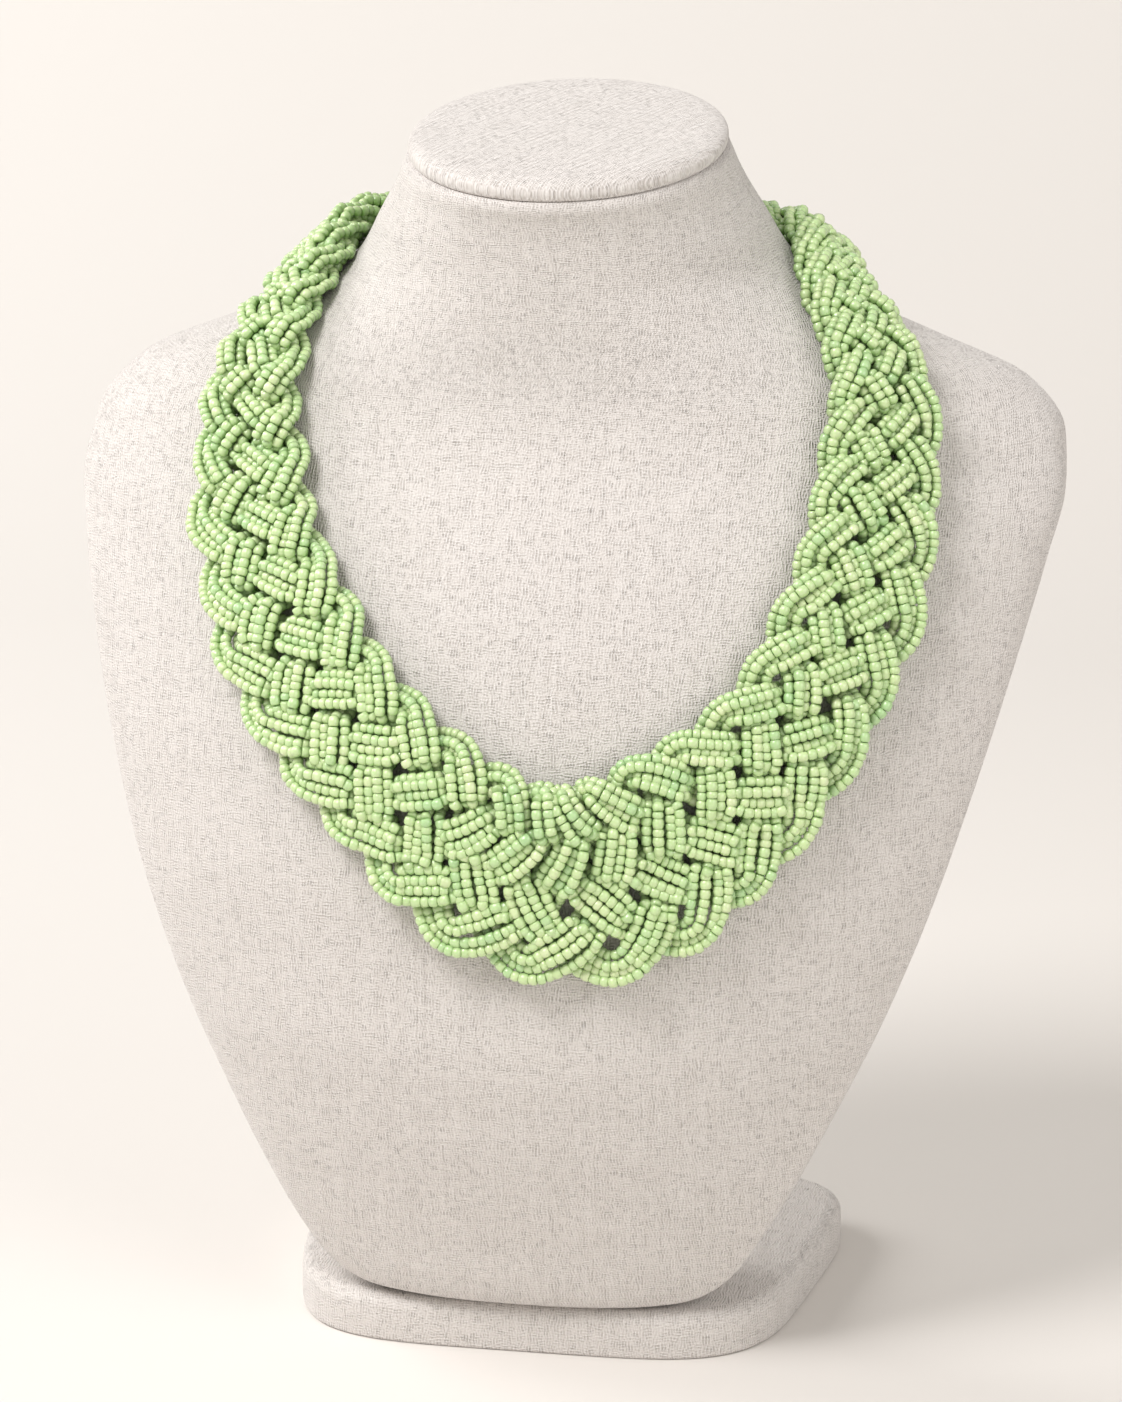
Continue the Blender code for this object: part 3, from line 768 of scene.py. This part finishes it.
def cloth_skin(name, rings, material, node):
    """Cloth skin through rings of points, with threads from its front and back middles."""
    rings = np.asarray(rings)
    rows, sides = rings.shape[:2]
    points = list(rings.reshape(-1, 3))
    faces = []
    for r in range(rows - 1):
        for k in range(sides):
            a, b = r * sides + k, r * sides + (k + 1) % sides
            faces.append((a, b, b + sides, a + sides))
    faces.append(tuple(range(sides))[::-1])
    faces.append(tuple(range((rows - 1) * sides, rows * sides)))
    obj = new_mesh(name, placed(points), faces, material)
    step = np.linalg.norm(np.diff(rings, axis=1, append=rings[:, :1]), axis=2)
    around = np.concatenate([np.zeros((rows, 1)), np.cumsum(step, axis=1)], axis=1)
    rise = np.linalg.norm(np.diff(rings, axis=0), axis=2).mean(1)
    upward = np.concatenate([[0], np.cumsum(rise)])
    layer = obj.data.uv_layers.new(name="weave")
    values = []
    for face in obj.data.polygons:
        if len(face.vertices) > 4:
            values += [(points[v][0], points[v][1]) for v in face.vertices]
            continue
        r, k = divmod(face.index, sides)
        middle = round(2 * k / sides) * sides // 2
        for dr, dk in ((0, 0), (0, 1), (1, 1), (1, 0)):
            values.append((around[r + dr, k + dk] - around[r + dr, middle], upward[r + dr]))
    layer.data.foreach_set("uv", np.array(values).ravel())
    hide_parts(node)
    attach(obj, "root")
    return obj


# Steps of the body's skin, and how much closer they lie at its corners and its foot.
BODY_SIDES = 200
BODY_ROWS = 190
TURN_WEIGHT = 0.5
FOOT_WEIGHT = 0.12


def body_ring(height):
    """Ring of the body's skin, with its points closer together where it turns."""
    ring, _ = outline(height)
    step = np.diff(ring, axis=0)
    length = np.linalg.norm(step, axis=1)
    way = np.unwrap(np.arctan2(step[:, 1], step[:, 0]))
    turn = np.abs(np.diff(way, append=way[-1]))
    weight = length / length.sum() + TURN_WEIGHT * turn / turn.sum()
    run = np.concatenate([[0], np.cumsum(weight)])
    even = np.linspace(0, run[-1], BODY_SIDES + 1)[:-1]
    return np.stack([np.interp(even, run, ring[:, k]) for k in range(3)], -1)


def body_heights():
    """Heights of the body's rings, closer together at its rounded foot."""
    share = np.linspace(0, 1, BODY_ROWS)
    share = share - FOOT_WEIGHT * np.sin(share * math.pi) * (1 - share)
    return SECTION_HEIGHTS[0] + (NECK_TOP - SECTION_HEIGHTS[0]) * np.clip(share, 0, 1)


def bust_body(material):
    """The bust's padded body, under linen."""
    obj = cloth_skin("bust_linen", [body_ring(h) for h in body_heights()], material, "bust_body")


# Padded cap: steps, slant of its threads, and share of the outline and of the thickness.
CAP_SIDES = 96
CAP_RINGS = 40
CAP_SLANT = 0.6
CAP_ROWS = (
    (0.985, 0.0), (0.995, 0.14), (1.0, 0.36), (0.99, 0.60),
    (0.955, 0.80), (0.86, 0.93), (0.60, 0.99), (0.25, 1.0),
)


def cap_ring(share, height):
    """Ring of the cap at a share of its outline and of its thickness."""
    turn = np.linspace(0, 2 * math.pi, CAP_SIDES, endpoint=False)
    x = np.sin(turn) * CAP_HALF_WIDTH * share
    y = -np.cos(turn) * CAP_HALF_DEPTH * math.cos(NECK_TILT) * share
    lifted = NECK_TOP + CAP_GROOVE + CAP_THICK * height
    return np.stack([x, y, lifted + math.tan(NECK_TILT) * y], -1)


def flat_threads(mesh):
    """Threads straight across the top of the cap, as in one stretched cloth."""
    values = []
    for loop in mesh.loops:
        x, y, _ = mesh.vertices[loop.vertex_index].co / MM
        values += [x - y * CAP_SLANT, y + x * CAP_SLANT]
    mesh.uv_layers["weave"].data.foreach_set("uv", values)


def neck_cap(material):
    """The padded cap on the neck, under linen."""
    rings = [cap_ring(*row) for row in spline(CAP_ROWS, CAP_RINGS)]
    obj = cloth_skin("cap_linen", rings, material, "neck_cap")
    flat_threads(obj.data)


# Steps of the slab, round it and over its lower and upper edges.
BASE_SIDES = 160
FOOT_STEPS = 4
EDGE_STEPS = 8


def base_ring(inset, height):
    """Ring of the slab at a distance inside its outline."""
    turn = np.linspace(0, 2 * math.pi, BASE_SIDES, endpoint=False) + math.pi / BASE_SIDES
    c, s = np.cos(turn), np.sin(turn)
    power = 2 / BASE_SQUARE
    y = -np.sign(c) * np.abs(c) ** power
    x = np.sign(s) * np.abs(s) ** power * (1 + BASE_SPLAY * y)
    return np.stack([x * (BASE_WIDTH / 2 - inset), BASE_MIDDLE + y * (BASE_DEPTH / 2 - inset),
                     np.full(BASE_SIDES, height)], -1)


def round_edge(radius, count):
    """Inset and drop along a quarter round, from the flat face to the side."""
    turns = [math.pi / 2 * n / count for n in range(count + 1)]
    return [(radius * (1 - math.sin(t)), radius * (1 - math.cos(t))) for t in turns]


def base_slab(material):
    """The slab under the body, under linen."""
    rows = round_edge(BASE_FOOT_EDGE, FOOT_STEPS)
    top = round_edge(BASE_EDGE, EDGE_STEPS)
    rows += [(inset, BASE_THICK - drop) for inset, drop in reversed(top)]
    cloth_skin("base_linen", [base_ring(*row) for row in rows], material, "base")


def clasp_finish(material):
    """The clasp's own solid, with its metal."""
    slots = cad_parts["clasp"].data.materials
    slots.clear()
    slots.append(material)


# The ground, metres: a floor that curves up a little at the back.
GROUND_HALF = 8.0
GROUND_FRONT = -8.0
CURVE_FROM = 0.7
CURVE_RADIUS = 0.9
CURVE_TURN = math.radians(55.0)
CURVE_STEPS = 16
GROUND_FINISH = {"Base Color": (0.775, 0.745, 0.71, 1), "Roughness": 0.9}


def ground():
    """Plain pale floor."""
    material = Nodes("pale_ground").shaded(GROUND_FINISH)
    profile = [(GROUND_FRONT, 0.0), (CURVE_FROM, 0.0)]
    for step in range(1, CURVE_STEPS + 1):
        turn = CURVE_TURN * step / CURVE_STEPS
        profile.append((CURVE_FROM + CURVE_RADIUS * math.sin(turn),
                        CURVE_RADIUS * (1 - math.cos(turn))))
    points, faces = [], []
    for y, z in profile:
        points += [(-GROUND_HALF, y, z), (GROUND_HALF, y, z)]
    for k in range(len(profile) - 1):
        faces.append((2 * k, 2 * k + 1, 2 * k + 3, 2 * k + 2))
    return new_mesh("ground", points, faces, material)


def look(way):
    """Turns that point an object's -Z along a direction, with +Z of the world up."""
    x, y, z = unit(np.array(way, float))
    return (math.acos(max(-1.0, min(1.0, -z))), 0.0, math.atan2(-x, y))


# Lights: name, place and size in metres, power in watts, and colour. The key is a broad soft one
# from the upper left, the fill a weak one from the right, and the third one comes from the left
# behind.
LIGHTS = (
    ("key", (-0.98, -1.12, 2.12), 1.1, 41.5, (1.0, 0.98, 0.975)),
    ("fill", (1.6, -1.1, 1.1), 1.6, 14.0, (1.0, 0.98, 0.96)),
    ("side", (-1.9, 0.45, 1.3), 1.4, 25.0, (1.0, 0.99, 0.98)),
)
LIGHT_AIM = (0.0, 0.0, 0.17)
SKY_COLOUR = (1.0, 0.96, 0.91, 1)
SKY_STRENGTH = 0.44


def area_light(name, place, size, power, colour):
    """Round soft light that points at the bust."""
    light = bpy.data.lights.new(name, "AREA")
    light.shape = "DISK"
    light.size = size
    light.energy = power
    light.color = colour
    obj = bpy.data.objects.new(name, light)
    obj.location = place
    obj.rotation_euler = look(np.array(LIGHT_AIM) - np.array(place))
    bpy.context.scene.collection.objects.link(obj)
    return obj


def lights():
    """The area lights, under an even warm sky."""
    world = bpy.data.worlds.new("studio")
    bpy.context.scene.world = world
    world.use_nodes = True
    sky = world.node_tree.nodes["Background"]
    sky.inputs["Color"].default_value = SKY_COLOUR
    sky.inputs["Strength"].default_value = SKY_STRENGTH
    return [area_light(*row) for row in LIGHTS]


def camera():
    """The scene's camera, at the photo's angle."""
    data = bpy.data.cameras.new("camera")
    data.sensor_width = VIEW_SENSOR
    data.sensor_fit = "AUTO"
    data.lens = VIEW_LENS
    data.clip_end = VIEW_FAR
    obj = bpy.data.objects.new("camera", data)
    a, e = VIEW_AZIMUTH, VIEW_ELEVATION
    back = np.array([math.sin(a) * math.cos(e), -math.cos(a) * math.cos(e), math.sin(e)])
    obj.location = (np.array(VIEW_AIM) - ORIGIN + back * VIEW_DISTANCE) * MM
    obj.rotation_euler = look(-back)
    bpy.context.scene.collection.objects.link(obj)
    bpy.context.scene.camera = obj


camera()
ground()
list(lights())
bpy.context.scene.view_settings.view_transform = "Standard"

linen = linen_material("linen_cloth", BODY_STREAKS)
bust_body(linen)
base_slab(linen)
neck_cap(linen_material("cap_cloth", CAP_STREAKS))
clasp_finish(metal_material())

glass = bead_material()
for number in range(STRANDS):
    beaded_bundle(number, glass)
